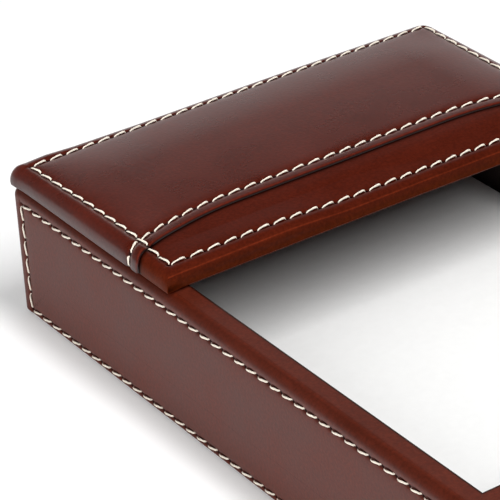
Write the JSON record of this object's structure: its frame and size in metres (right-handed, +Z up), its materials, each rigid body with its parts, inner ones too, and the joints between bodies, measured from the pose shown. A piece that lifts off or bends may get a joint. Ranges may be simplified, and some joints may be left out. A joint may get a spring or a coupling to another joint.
{
  "type": "memo paper tray",
  "caption": "Low open leather tray for note paper, with a padded stitched ledge bridging its back end over the sheets.",
  "frame": {"origin": "centre of the footprint, on the surface that the felt rests on", "axes": "+X to the right seen from the open front, +Y to the back where the ledge is, +Z up"},
  "size_m": [0.1164, 0.1672, 0.038],
  "materials": {
    "wall_leather": "smooth pull-up leather, matt on the panels and darker along the rim",
    "ledge_leather": "smooth waxed leather with a soft gloss",
    "overlay_leather": "smooth waxed leather with a soft gloss",
    "thread": "cream waxed thread",
    "lining": "plain dark lining",
    "felt": "pressed wool felt",
    "board": "plain hardboard, hidden under the leather",
    "padding": "thin foam, hidden under the leather",
    "note_paper": "plain white paper"
  },
  "bodies": {
    "tray": {"base_felt": "felt", "base_board": "board", "floor_lining": "lining", "left_board": "board", "right_board": "board", "back_board": "board", "front_board": "board", "left_lining": "lining", "right_lining": "lining", "back_lining": "lining", "front_lining": "lining", "left_leather": "wall_leather", "right_leather": "wall_leather", "back_leather": "wall_leather", "front_leather": "wall_leather", "ledge_board": "board", "ledge_padding": "padding", "ledge_lining": "lining", "ledge_cover_leather": "ledge_leather", "ledge_overlay_leather": "overlay_leather", "left_stitching": "thread", "right_stitching": "thread", "back_stitching": "thread", "front_stitching": "thread", "ledge_border_stitching": "thread", "ledge_arc_stitching": "thread", "paper_stack": "note_paper"},
    "lifted_sheets": {"top_sheets": "note_paper"}
  },
  "joints": [
    {"name": "sheets_lift", "type": "hinge", "parent": "tray", "child": "lifted_sheets", "pos_m": [0, 0.0762, 0.0062], "axis": [-1, 0, 0], "range_deg": [0, 23]}
  ]
}
